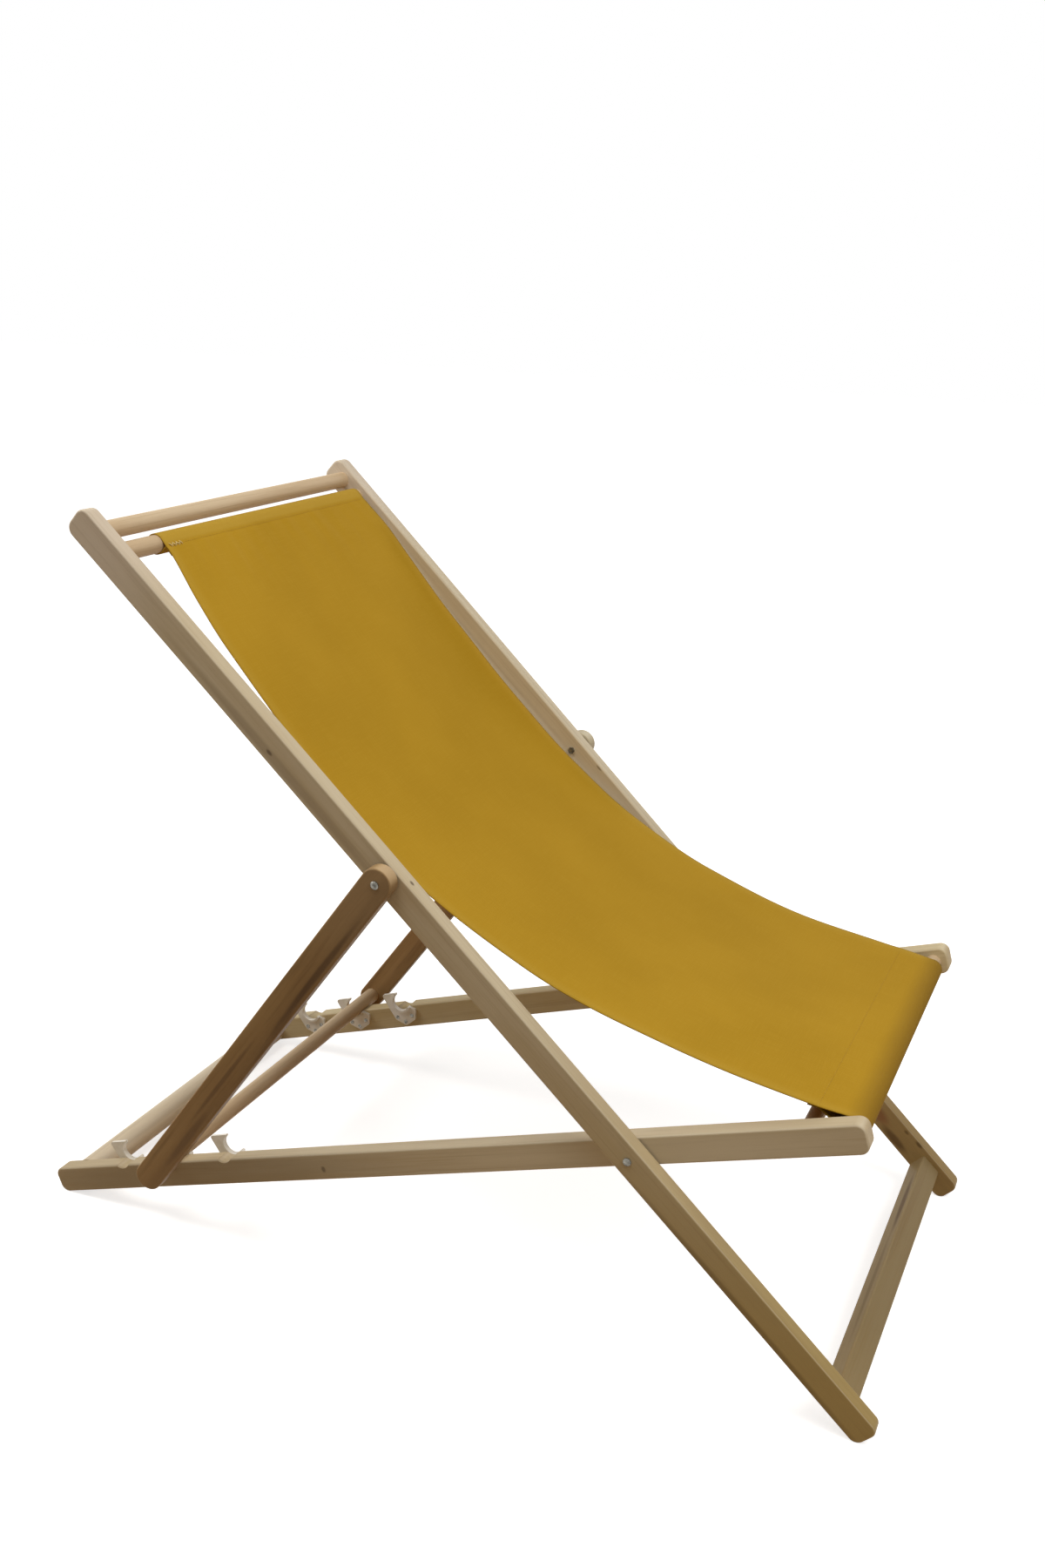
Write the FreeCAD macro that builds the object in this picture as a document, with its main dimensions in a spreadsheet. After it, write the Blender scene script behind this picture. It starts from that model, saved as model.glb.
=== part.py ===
import FreeCAD
import Part
import Sketcher
import math
import os

# Folding deck chair, set up with the prop dowel in the middle notches.
# The sitter faces +X, their left is +Y and +Z is up. Right pieces stand at -Y.
# A rail's own X runs along the rail, from the rear or the foot, with zero at the cross bolt.

# Driving sizes in millimetres, angles in degrees
sizes = {
    "back_rail_length": 1303.0,
    "seat_rail_length": 1116.0,
    "rail_width": 35.0,
    "rail_thickness": 20.0,
    "seat_rail_thickness": 23.0,
    "rail_end_radius": 11.0,
    "rail_rounding": 2.5,
    "seat_frame_width": 500.0,
    "cross_from_foot": 402.0,
    "prop_from_cross": 400.0,
    "prop_span": 564.3,
    "strut_width": 36.0,
    "strut_thickness": 18.0,
    "strut_rounding": 2.0,
    "strut_top_margin": 19.0,
    "strut_low_margin": 24.0,
    "prop_dowel_diameter": 22.0,
    "bar_diameter": 20.0,
    "spreader_diameter": 18.0,
    "head_dowel_margin": 24.0,
    "head_sling_margin": 53.5,
    "seat_sling_margin": 19.0,
    "spreader_margin": 70.0,
    "blind_depth": 12.0,
    "dowel_fit": 0.1,
    "end_gap": 0.2,
    "joint_gap": 0.3,
    "middle_notch": 650.0,
    "notch_pitch": 85.0,
    "notch_depth": 5.0,
    "notch_radius": 13.0,
    "rear_bar_diameter": 35.0,
    "rear_bar_tenon": 20.0,
    "rear_bar_margin": 18.5,
    "foot_bar_width": 32.0,
    "foot_bar_height": 27.0,
    "foot_bar_margin": 32.0,
    "stretcher_rounding": 3.0,
    "tenon_shoulder": 5.0,
    "bolt_diameter": 5.0,
    "bolt_fit": 0.1,
    "bolt_head_diameter": 9.5,
    "bolt_head_height": 3.0,
    "bolt_head_rim": 1.0,
    "bolt_tail": 1.0,
    "nut_across": 8.0,
    "nut_height": 2.7,
    "washer_diameter": 18.0,
    "washer_thickness": 2.0,
    "clip_thickness": 4.0,
    "clip_rim": 3.0,
    "clip_rim_height": 7.0,
    "clip_rounding": 3.0,
    "clip_reach": 24.0,
    "clip_bar_gap": 43.5,
    "screw_head_diameter": 6.0,
    "screw_head_height": 1.2,
    "screw_head_rim": 0.4,
    "screw_diameter": 3.0,
    "screw_depth": 10.0,
    "cloth_thickness": 1.2,
    "cloth_side_gap": 5.0,
    "cloth_shift_head": 24.0,
    "cloth_shift_front": -2.0,
    "cloth_slope_head": 49.0,
    "cloth_slope_middle": 17.0,
    "cloth_slope_front": 4.0,
    "cloth_bend_ratio": 1.42,
    "hem_overlap": 24.0,
}

doc = FreeCAD.newDocument("deck_chair")
sheet = doc.addObject("Spreadsheet::Sheet", "sizes")
for row, (name, value) in enumerate(sizes.items(), 1):
    sheet.set("A{}".format(row), name)
    sheet.set("B{}".format(row), str(value))
    sheet.setAlias("B{}".format(row), name)
doc.recompute()

V = FreeCAD.Vector
up = V(0, 0, 1)


def number(item):
    return item.value if isinstance(item, Size) else float(item)


def formula(item):
    return item.formula if isinstance(item, Size) else repr(float(item))


# A number that carries the sheet formula it comes from
class Size:
    def __init__(self, value, text):
        self.value = value
        self.formula = text

    def __add__(self, other):
        return Size(self.value + number(other), "({} + {})".format(self.formula, formula(other)))

    def __sub__(self, other):
        return Size(self.value - number(other), "({} - {})".format(self.formula, formula(other)))

    def __mul__(self, other):
        return Size(self.value * number(other), "({} * {})".format(self.formula, formula(other)))

    def __truediv__(self, other):
        return Size(self.value / number(other), "({} / {})".format(self.formula, formula(other)))

    def __neg__(self):
        return Size(-self.value, "(0 - {})".format(self.formula))


def size(name):
    return Size(sizes[name], "sizes.{}".format(name))


# Derived sizes shared by the pieces that meet
zero = size("rail_width") * 0
half_rail = size("rail_width") / 2
half_strut = size("strut_width") / 2
layer_gap = size("washer_thickness") + size("joint_gap")
seat_inner = size("seat_frame_width") / 2 - size("seat_rail_thickness")
seat_outer = size("seat_frame_width") / 2
back_inner = seat_outer + layer_gap
back_outer = back_inner + size("rail_thickness")
strut_inner = back_outer + layer_gap
strut_outer = strut_inner + size("strut_thickness")
bolt_hole = (size("bolt_diameter") + size("bolt_fit")) / 2
bar_hole = (size("bar_diameter") + size("dowel_fit")) / 2
spreader_hole = (size("spreader_diameter") + size("dowel_fit")) / 2
prop_dowel_hole = (size("prop_dowel_diameter") + size("dowel_fit")) / 2
rear_bar_hole = (size("rear_bar_tenon") + size("dowel_fit")) / 2
notch_height = half_rail - size("notch_depth") + size("notch_radius")
dowel_seat = half_rail - size("notch_depth") + size("joint_gap") + size("prop_dowel_diameter") / 2
back_foot = -size("cross_from_foot")
back_head = size("back_rail_length") - size("cross_from_foot")
middle_at = -size("middle_notch")
notches = {
    "rear": middle_at - size("notch_pitch"),
    "middle": middle_at,
    "front": middle_at + size("notch_pitch"),
}
# The rear bar stands clear of the rear clips, and the seat rails end behind it
rear_bar_radius = size("rear_bar_diameter") / 2
rear_bar_at = notches["rear"] - size("clip_reach") - size("clip_bar_gap") - rear_bar_radius
seat_rear = rear_bar_at - rear_bar_radius - size("rear_bar_margin")
seat_front = size("seat_rail_length") + seat_rear
head_dowel_at = back_head - size("head_dowel_margin")
head_sling_at = back_head - size("head_sling_margin")
seat_sling_at = seat_front - size("seat_sling_margin")
spreader_at = seat_front - size("spreader_margin")
# The back rail's own Z points to its underside
foot_bar_from = back_foot + size("foot_bar_margin")
foot_bar_to = foot_bar_from + size("foot_bar_width")
foot_bar_low = half_rail
foot_bar_top = half_rail - size("foot_bar_height")

# Triangle of cross bolt, prop bolt and seated prop dowel, then both rails down to the floor
arm = number(size("prop_from_cross"))
span = number(size("prop_span"))
reach = math.hypot(number(middle_at), number(dowel_seat))
crossing = math.acos((arm ** 2 + reach ** 2 - span ** 2) / (2 * arm * reach))
crossing = crossing + math.atan2(number(dowel_seat), -number(middle_at))
corner = number(size("rail_end_radius"))
foot_arm = -number(back_foot) - corner
rear_arm = -number(seat_rear) - corner
low_side = number(half_rail) - corner
rise = foot_arm * math.sin(crossing) + low_side * math.cos(crossing) - low_side
run = rear_arm + foot_arm * math.cos(crossing) - low_side * math.sin(crossing)
beta = math.atan2(rise, run)
alpha = crossing - beta
cross_z = rear_arm * math.sin(beta) + low_side * math.cos(beta) + corner
rear_reach = rear_arm * math.cos(beta) - low_side * math.sin(beta)
foot_reach = foot_arm * math.cos(alpha) - low_side * math.sin(alpha)
cross_x = (rear_reach - foot_reach) / 2
prop_x = cross_x - arm * math.cos(alpha)
prop_z = cross_z + arm * math.sin(alpha)
notch_x, notch_n = number(middle_at), number(dowel_seat)
dowel_x = cross_x + notch_x * math.cos(beta) - notch_n * math.sin(beta)
dowel_z = cross_z + notch_x * math.sin(beta) + notch_n * math.cos(beta)
gamma = math.atan2(prop_z - dowel_z, prop_x - dowel_x)
seat_turn = -math.degrees(beta)
back_turn = math.degrees(alpha) - 180
strut_turn = 180 - math.degrees(gamma)
print("slopes: back {:.3f}, seat {:.3f}, prop {:.3f}".format(
    math.degrees(alpha), math.degrees(beta), math.degrees(gamma)))
print("cross bolt {:.3f} {:.3f}, prop bolt {:.3f} {:.3f}, prop dowel {:.3f} {:.3f}".format(
    cross_x, cross_z, prop_x, prop_z, dowel_x, dowel_z))


def seat_point(along, across=0.0):
    x = cross_x + along * math.cos(beta) - across * math.sin(beta)
    z = cross_z + along * math.sin(beta) + across * math.cos(beta)
    return x, z


def back_point(along, below=0.0):
    x = cross_x - along * math.cos(alpha) - below * math.sin(alpha)
    z = cross_z + along * math.sin(alpha) - below * math.cos(alpha)
    return x, z


def place(item, x, y, z, turn):
    item.Placement = FreeCAD.Placement(V(x, y, z), FreeCAD.Rotation(V(0, 1, 0), turn))


def place_seat(item, y):
    place(item, cross_x, y, cross_z, seat_turn)


def place_back(item, y):
    place(item, cross_x, y, cross_z, back_turn)


# Sketch helpers
def new_body(label):
    body = doc.addObject("PartDesign::Body", label)
    body.Label = label
    return body


def new_sketch(body, name, role="XZ_Plane"):
    sketch = body.newObject("Sketcher::SketchObject", name)
    plane = [item for item in body.Origin.OriginFeatures if item.Role == role][0]
    sketch.AttachmentSupport = [(plane, "")]
    sketch.MapMode = "FlatFace"
    return sketch


def fix(sketch, kind, *refs):
    amount = refs[-1]
    index = sketch.addConstraint(Sketcher.Constraint(kind, *refs[:-1], number(amount)))
    sketch.setExpression("Constraints[{}]".format(index), formula(amount))


def fix_point(sketch, shape, point, x, y):
    fix(sketch, "DistanceX", -1, 1, shape, point, x)
    fix(sketch, "DistanceY", -1, 1, shape, point, y)


def add_circle(sketch, x, y, radius):
    shape = sketch.addGeometry(Part.Circle(V(number(x), number(y), 0), up, number(radius)))
    fix(sketch, "Radius", shape, radius)
    fix_point(sketch, shape, 3, x, y)


def add_rectangle(sketch, x0, x1, y0, y1):
    corners = [(x0, y0), (x1, y0), (x1, y1), (x0, y1)]
    spots = [V(number(x), number(y), 0) for x, y in corners]
    lines = []
    for k in range(4):
        lines.append(sketch.addGeometry(Part.LineSegment(spots[k], spots[(k + 1) % 4])))
    for k in range(4):
        sketch.addConstraint(Sketcher.Constraint("Coincident", lines[k], 2, lines[(k + 1) % 4], 1))
        sketch.addConstraint(Sketcher.Constraint(("Horizontal", "Vertical")[k % 2], lines[k]))
    fix_point(sketch, lines[0], 1, x0, y0)
    fix_point(sketch, lines[2], 1, x1, y1)


def add_stadium(sketch, x0, x1, radius):
    a, b, r = number(x0 + radius), number(x1 - radius), number(radius)
    first = sketch.addGeometry(Part.ArcOfCircle(Part.Circle(V(a, 0, 0), up, r), math.pi / 2, math.pi * 1.5))
    low = sketch.addGeometry(Part.LineSegment(V(a, -r, 0), V(b, -r, 0)))
    last = sketch.addGeometry(Part.ArcOfCircle(Part.Circle(V(b, 0, 0), up, r), -math.pi / 2, math.pi / 2))
    high = sketch.addGeometry(Part.LineSegment(V(b, r, 0), V(a, r, 0)))
    for one, two in ((first, low), (low, last), (last, high), (high, first)):
        sketch.addConstraint(Sketcher.Constraint("Tangent", one, 2, two, 1))
    for arc in (first, last):
        sketch.addConstraint(Sketcher.Constraint("PointOnObject", arc, 3, -1))
    fix(sketch, "Radius", first, radius)
    fix(sketch, "DistanceX", -1, 1, first, 3, x0 + radius)
    fix(sketch, "DistanceX", -1, 1, last, 3, x1 - radius)


def add_rounded(sketch, x0, x1, half, corner):
    # Bar outline with four round corners, its middle line on the sketch's X axis
    a, b, r = number(x0 + corner), number(x1 - corner), number(corner)
    h = number(half - corner)
    centres = [(b, -h), (b, h), (a, h), (a, -h)]
    starts = [(b + r, -h), (b, h + r), (a - r, h), (a, -h - r)]
    stops = [(b + r, h), (a, h + r), (a - r, -h), (b, -h - r)]
    arcs, lines = [], []
    for k in range(4):
        circle = Part.Circle(V(*centres[k], 0), up, r)
        arcs.append(sketch.addGeometry(Part.ArcOfCircle(circle, (k - 1) * math.pi / 2, k * math.pi / 2)))
        lines.append(sketch.addGeometry(Part.LineSegment(V(*starts[k], 0), V(*stops[k], 0))))
    for k in range(4):
        sketch.addConstraint(Sketcher.Constraint("Tangent", arcs[k], 2, lines[k], 1))
        sketch.addConstraint(Sketcher.Constraint("Tangent", lines[k], 2, arcs[(k + 1) % 4], 1))
        sketch.addConstraint(Sketcher.Constraint(("Vertical", "Horizontal")[k % 2], lines[k]))
    for arc in arcs[1:]:
        sketch.addConstraint(Sketcher.Constraint("Equal", arcs[0], arc))
    fix(sketch, "Radius", arcs[0], corner)
    fix_point(sketch, arcs[0], 3, x1 - corner, corner - half)
    fix_point(sketch, arcs[2], 3, x0 + corner, half - corner)


# Feature helpers; an XZ sketch pads to -Y and a pocket from it cuts to +Y, unless turned round
def add_pad(body, sketch, length, flip=False, both=False):
    feature = body.newObject("PartDesign::Pad", sketch.Name + "_pad")
    feature.Profile = sketch
    feature.setExpression("Length", formula(length))
    feature.Reversed = flip
    if both:
        feature.SideType = "Symmetric"
    doc.recompute()
    return feature


def add_pocket(body, sketch, depth, flip):
    before = body.Shape.Volume
    feature = body.newObject("PartDesign::Pocket", sketch.Name + "_pocket")
    feature.Profile = sketch
    feature.setExpression("Length", formula(depth))
    feature.Reversed = flip
    doc.recompute()
    if body.Shape.Volume > before - 1.0:
        raise RuntimeError("{} cut nothing".format(feature.Name))
    return feature


def add_fillet(body, base, edges, radius):
    feature = body.newObject("PartDesign::Fillet", base.Name + "_rounding")
    feature.Base = (base, edges)
    feature.setExpression("Radius", formula(radius))
    doc.recompute()
    return feature


def outline_edges(shape):
    # Every edge that lies in one of the two flat faces across Y
    names = []
    for index, edge in enumerate(shape.Edges, 1):
        if edge.BoundBox.YLength < 0.01:
            names.append("Edge{}".format(index))
    return names


def cross_edges(shape):
    # Every straight edge along Y
    names = []
    for index, edge in enumerate(shape.Edges, 1):
        box = edge.BoundBox
        if box.YLength > 0.1 and box.XLength < 0.01 and box.ZLength < 0.01:
            names.append("Edge{}".format(index))
    return names


sides = {"right": -1, "left": 1}
made = []


# Rails and struts: pad outward from the inner face, so a right piece pads to -Y as the sketch does
def make_bar(label, side, outline, x0, x1, outline_sizes, thickness, rounding):
    body = new_body(label)
    sketch = new_sketch(body, label + "_outline")
    outline(sketch, x0, x1, *outline_sizes)
    pad = add_pad(body, sketch, thickness, flip=side > 0)
    add_fillet(body, pad, outline_edges(pad.Shape), rounding)
    made.append(body)
    return body


def cut_holes(body, side, name, holes, depth):
    sketch = new_sketch(body, "{}_{}".format(body.Name, name))
    for x, y, radius in holes:
        add_circle(sketch, x, y, radius)
    add_pocket(body, sketch, depth, flip=side < 0)


def cut_mortise(body, side, name, x0, x1, y0, y1):
    sketch = new_sketch(body, "{}_{}".format(body.Name, name))
    gap = size("dowel_fit") / 2
    add_rectangle(sketch, x0 - gap, x1 + gap, y0 - gap, y1 + gap)
    add_pocket(body, sketch, size("blind_depth"), flip=side < 0)


# Screw places on a notch clip, from the notch along the rail and up from its centre line
clip_screw_at = [(-14.0, 2.0), (-2.5, -6.5), (11.5, 2.0)]
screw_hole = (size("screw_diameter") + size("dowel_fit")) / 2
shoulder = size("tenon_shoulder")
rail_outline = [half_rail, size("rail_end_radius")]
for word, side in sides.items():
    rail = make_bar("back_rail_" + word, side, add_rounded, back_foot, back_head, rail_outline,
                    size("rail_thickness"), size("rail_rounding"))
    pivots = [(zero, zero, bolt_hole), (size("prop_from_cross"), zero, bolt_hole)]
    cut_holes(rail, side, "bolt_holes", pivots, size("rail_thickness"))
    sockets = [(head_dowel_at, zero, bar_hole), (head_sling_at, zero, bar_hole)]
    cut_holes(rail, side, "dowel_sockets", sockets, size("blind_depth"))
    cut_mortise(rail, side, "mortise", foot_bar_from + shoulder, foot_bar_to - shoulder,
                foot_bar_top + shoulder, foot_bar_low - shoulder)
    place_back(rail, side * number(back_inner))

    rail = make_bar("seat_rail_" + word, side, add_rounded, seat_rear, seat_front, rail_outline,
                    size("seat_rail_thickness"), size("rail_rounding"))
    cut_holes(rail, side, "bolt_hole", [(zero, zero, bolt_hole)], size("seat_rail_thickness"))
    cut_holes(rail, side, "notches", [(at, notch_height, size("notch_radius")) for at in notches.values()],
              size("seat_rail_thickness"))
    sockets = [(spreader_at, zero, spreader_hole), (seat_sling_at, zero, bar_hole)]
    sockets.append((rear_bar_at, zero, rear_bar_hole))
    cut_holes(rail, side, "dowel_sockets", sockets, size("blind_depth"))
    pilots = [(at + x, zero + y, screw_hole) for at in notches.values() for x, y in clip_screw_at]
    cut_holes(rail, side, "screw_holes", pilots, size("screw_depth") + size("end_gap"))
    place_seat(rail, side * number(seat_inner))

    strut = make_bar("prop_strut_" + word, side, add_stadium, -size("strut_top_margin"),
                     size("prop_span") + size("strut_low_margin"), [half_strut],
                     size("strut_thickness"), size("strut_rounding"))
    cut_holes(strut, side, "bolt_hole", [(zero, zero, bolt_hole)], size("strut_thickness"))
    cut_holes(strut, side, "dowel_socket", [(size("prop_span"), zero, prop_dowel_hole)], size("blind_depth"))
    place(strut, prop_x, side * number(strut_inner), prop_z, strut_turn)


# Round bars between blind sockets
def make_dowel(label, diameter, inner, point):
    dowel = doc.addObject("Part::Cylinder", label)
    dowel.Label = label
    length = (inner + size("blind_depth") - size("end_gap")) * 2
    dowel.setExpression("Radius", formula(diameter / 2))
    dowel.setExpression("Height", formula(length))
    turn = FreeCAD.Rotation(V(1, 0, 0), -90)
    dowel.Placement = FreeCAD.Placement(V(point[0], -number(length) / 2, point[1]), turn)
    made.append(dowel)


make_dowel("head_dowel", size("bar_diameter"), back_inner, back_point(number(head_dowel_at)))
make_dowel("sling_dowel_head", size("bar_diameter"), back_inner, back_point(number(head_sling_at)))
make_dowel("sling_dowel_seat", size("bar_diameter"), seat_inner, seat_point(number(seat_sling_at)))
make_dowel("front_spreader", size("spreader_diameter"), seat_inner, seat_point(number(spreader_at)))
make_dowel("prop_dowel", size("prop_dowel_diameter"), strut_inner, (dowel_x, dowel_z))


# Front stretcher with a tenon at each end
def make_stretcher(label, inner, x0, x1, y0, y1):
    body = new_body(label)
    sketch = new_sketch(body, label + "_section")
    add_rectangle(sketch, x0, x1, y0, y1)
    pad = add_pad(body, sketch, inner * 2, both=True)
    add_fillet(body, pad, cross_edges(pad.Shape), size("stretcher_rounding"))
    sketch = new_sketch(body, label + "_tenons")
    add_rectangle(sketch, x0 + shoulder, x1 - shoulder, y0 + shoulder, y1 - shoulder)
    add_pad(body, sketch, (inner + size("blind_depth") - size("end_gap")) * 2, both=True)
    made.append(body)
    return body


place_back(make_stretcher("foot_stretcher", back_inner, foot_bar_from, foot_bar_to,
                          foot_bar_top, foot_bar_low), 0)


# Round rear bar, turned down to a tenon at each end
def make_turned_bar(label, inner, at, radius, tenon):
    body = new_body(label)
    sketch = new_sketch(body, label + "_section")
    add_circle(sketch, at, zero, radius)
    add_pad(body, sketch, inner * 2, both=True)
    sketch = new_sketch(body, label + "_tenons")
    add_circle(sketch, at, zero, tenon)
    add_pad(body, sketch, (inner + size("blind_depth") - size("end_gap")) * 2, both=True)
    made.append(body)
    return body


rear_tenon = size("rear_bar_tenon") / 2
place_seat(make_turned_bar("rear_stretcher", seat_inner, rear_bar_at, rear_bar_radius, rear_tenon), 0)


# Bolts, nuts and washers at the two pairs of pivots
def turn_out(side):
    # Own +Y to the outside of the chair
    return FreeCAD.Rotation(V(0, 0, 1), 0 if side > 0 else 180)


def make_turned(label, kind, length, turn, x, y, z):
    # Head on own +Y above a plain shank, its underside at the given place: domed on bolts, else bevelled
    body = new_body(label)
    sketch = new_sketch(body, label + "_profile", "XY_Plane")
    shank, rim = size(kind + "_diameter") / 2, size(kind + "_head_diameter") / 2
    edge, top = size(kind + "_head_rim"), size(kind + "_head_height")
    spots = [(zero, -length), (shank, -length), (shank, zero), (rim, zero), (rim, edge), (zero, top)]
    flat = [V(number(a), number(b), 0) for a, b in spots]
    lines = [sketch.addGeometry(Part.LineSegment(flat[k], flat[k + 1])) for k in range(4)]
    rise = flat[5].y - flat[4].y
    dome = (flat[4].x ** 2 + rise ** 2) / (2 * rise)
    centre = V(0, flat[5].y - dome, 0)
    start = math.atan2(flat[4].y - centre.y, flat[4].x)
    if kind == "bolt":
        lines.append(sketch.addGeometry(Part.ArcOfCircle(Part.Circle(centre, up, dome), start, math.pi / 2)))
        sketch.addConstraint(Sketcher.Constraint("PointOnObject", lines[4], 3, -2))
    else:
        lines.append(sketch.addGeometry(Part.LineSegment(flat[4], flat[5])))
    lines.append(sketch.addGeometry(Part.LineSegment(flat[5], flat[0])))
    for k in range(6):
        sketch.addConstraint(Sketcher.Constraint("Coincident", lines[k], 2, lines[(k + 1) % 6], 1))
    for k in range(5):
        fix_point(sketch, lines[k], 1, *spots[k])
    fix(sketch, "DistanceY", -1, 1, lines[5], 1, top)
    sketch.addConstraint(Sketcher.Constraint("PointOnObject", lines[5], 1, -2))
    feature = body.newObject("PartDesign::Revolution", label + "_turned")
    feature.Profile = sketch
    feature.ReferenceAxis = (sketch, ["V_Axis"])
    feature.Angle = 360
    doc.recompute()
    body.Placement = FreeCAD.Placement(V(x, y, z), turn)
    return body


def make_ring(label, outer, outer_sizes, height, side, x, y, z):
    # A nut or a washer: a prism or a disc with its bolt hole, standing out from y
    hole = doc.addObject("Part::Cylinder", label + "_hole")
    hole.setExpression("Radius", formula(bolt_hole))
    hole.setExpression("Height", formula(height))
    for key, amount in outer_sizes.items():
        outer.setExpression(key, formula(amount))
    outer.setExpression("Height", formula(height))
    ring = doc.addObject("Part::Cut", label)
    ring.Label = label
    ring.Base = outer
    ring.Tool = hole
    turn = FreeCAD.Rotation(V(1, 0, 0), -90 * side)
    ring.Placement = FreeCAD.Placement(V(x, side * number(y), z), turn)
    made.append(ring)


def make_pivot(kind, side, word, inner, face, outer, x, z):
    grip = outer + size("joint_gap") - inner
    tail = size("nut_height") + size("bolt_tail")
    under_head = number(outer + size("joint_gap"))
    made.append(make_turned("{}_bolt_{}".format(kind, word), "bolt", grip + tail, turn_out(side),
                            x, side * under_head, z))
    label = "{}_nut_{}".format(kind, word)
    prism = doc.addObject("Part::Prism", label + "_prism")
    prism.Polygon = 6
    corner = size("nut_across") / math.sqrt(3)
    make_ring(label, prism, {"Circumradius": corner}, size("nut_height"), side,
              x, inner - size("nut_height"), z)
    label = "{}_washer_{}".format(kind, word)
    disc = doc.addObject("Part::Cylinder", label + "_disc")
    make_ring(label, disc, {"Radius": size("washer_diameter") / 2}, size("washer_thickness"), side,
              x, face, z)


for word, side in sides.items():
    make_pivot("cross", side, word, seat_inner, seat_outer, back_outer, cross_x, cross_z)
    make_pivot("prop", side, word, back_inner, back_outer, strut_outer, prop_x, prop_z)

# Notch clips: a plate on the rail's inner face with a hook that guards the notch
notch_edge = (number(size("notch_radius")) ** 2 - number(half_rail - notch_height) ** 2) ** 0.5
lip_angle = 115.0
back_edge = -number(size("clip_reach"))
plate = [(21.0, 10.0), (15.0, -5.0), (-3.0, -13.0), (-18.0, -2.0),
         (back_edge, 17.0), (-30.0, 40.5), (-4.0, 40.5)]


def arc_ends(radius):
    start = math.atan2(number(half_rail - notch_height), notch_edge)
    return start, math.radians(lip_angle)


def polar(radius, angle):
    return V(number(radius) * math.cos(angle), number(notch_height) + number(radius) * math.sin(angle), 0)


def make_clip(label, side, at):
    body = new_body(label)
    sketch = new_sketch(body, label + "_plate")
    bore = size("notch_radius")
    start, stop = arc_ends(bore)
    spots = [polar(bore, start)]
    spots += [V(x, y, 0) for x, y in plate]
    spots += [polar(bore, stop)]
    lines = [sketch.addGeometry(Part.LineSegment(spots[k], spots[k + 1])) for k in range(len(spots) - 1)]
    circle = Part.Circle(V(0, number(notch_height), 0), up, number(bore))
    lines.append(sketch.addGeometry(Part.ArcOfCircle(circle, stop, start + 2 * math.pi)))
    count = len(lines)
    for k in range(count):
        sketch.addConstraint(Sketcher.Constraint("Coincident", lines[k], 2, lines[(k + 1) % count], 1))
    for k in range(1, count - 1):
        fix_point(sketch, lines[k], 1, spots[k].x, spots[k].y)
    fix(sketch, "Radius", lines[-1], bore)
    fix_point(sketch, lines[-1], 3, zero, notch_height)
    fix(sketch, "DistanceY", -1, 1, lines[0], 1, half_rail)
    fix(sketch, "DistanceX", -1, 1, lines[-1], 1, spots[-1].x)
    pad = add_pad(body, sketch, size("clip_thickness"), flip=side < 0)
    corners = []
    for name in cross_edges(pad.Shape):
        edge = pad.Shape.getElement(name)
        middle = edge.CenterOfMass
        if any(abs(middle.x - x) < 0.01 and abs(middle.z - y) < 0.01 for x, y in plate[:6]):
            corners.append(name)
    add_fillet(body, pad, corners, size("clip_rounding"))
    sketch = new_sketch(body, label + "_rim")
    inner_arc = Part.ArcOfCircle(circle, stop, start + 2 * math.pi)
    rim = bore + size("clip_rim")
    wide = Part.Circle(V(0, number(notch_height), 0), up, number(rim))
    outer_arc = Part.ArcOfCircle(wide, stop, start + 2 * math.pi)
    first = sketch.addGeometry(inner_arc)
    second = sketch.addGeometry(outer_arc)
    third = sketch.addGeometry(Part.LineSegment(polar(bore, stop), polar(rim, stop)))
    fourth = sketch.addGeometry(Part.LineSegment(polar(bore, start), polar(rim, start)))
    pairs = [(first, 1, third, 1), (second, 1, third, 2), (first, 2, fourth, 1), (second, 2, fourth, 2)]
    for pair in pairs:
        sketch.addConstraint(Sketcher.Constraint("Coincident", *pair))
    fix(sketch, "Radius", first, bore)
    fix(sketch, "Radius", second, rim)
    fix_point(sketch, first, 3, zero, notch_height)
    sketch.addConstraint(Sketcher.Constraint("Coincident", first, 3, second, 3))
    add_pad(body, sketch, size("clip_rim_height"), flip=side < 0)
    sketch = new_sketch(body, label + "_screw_holes")
    for x, y in clip_screw_at:
        add_circle(sketch, x, y, screw_hole)
    add_pocket(body, sketch, size("clip_thickness"), flip=side > 0)
    x, z = seat_point(number(at))
    place(body, x, side * number(seat_inner), z, seat_turn)
    made.append(body)


for word, side in sides.items():
    for spot, at in notches.items():
        make_clip("clip_{}_{}".format(spot, word), side, at)

# Screws of all clips, heads toward the middle of the chair
screws = []
screw_length = size("clip_thickness") + size("screw_depth")
for word, side in sides.items():
    for spot, at in notches.items():
        for index, (x, y) in enumerate(clip_screw_at, 1):
            label = "screw_{}_{}_{}".format(spot, word, index)
            point = seat_point(number(at) + x, y)
            face = side * number(seat_inner - size("clip_thickness"))
            screw = make_turned(label, "screw", screw_length, turn_out(-side), point[0], face, point[1])
            screws.append(screw)
clip_screws = doc.addObject("Part::Compound", "clip_screws")
clip_screws.Label = "clip_screws"
clip_screws.Links = screws
made.append(clip_screws)

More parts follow.
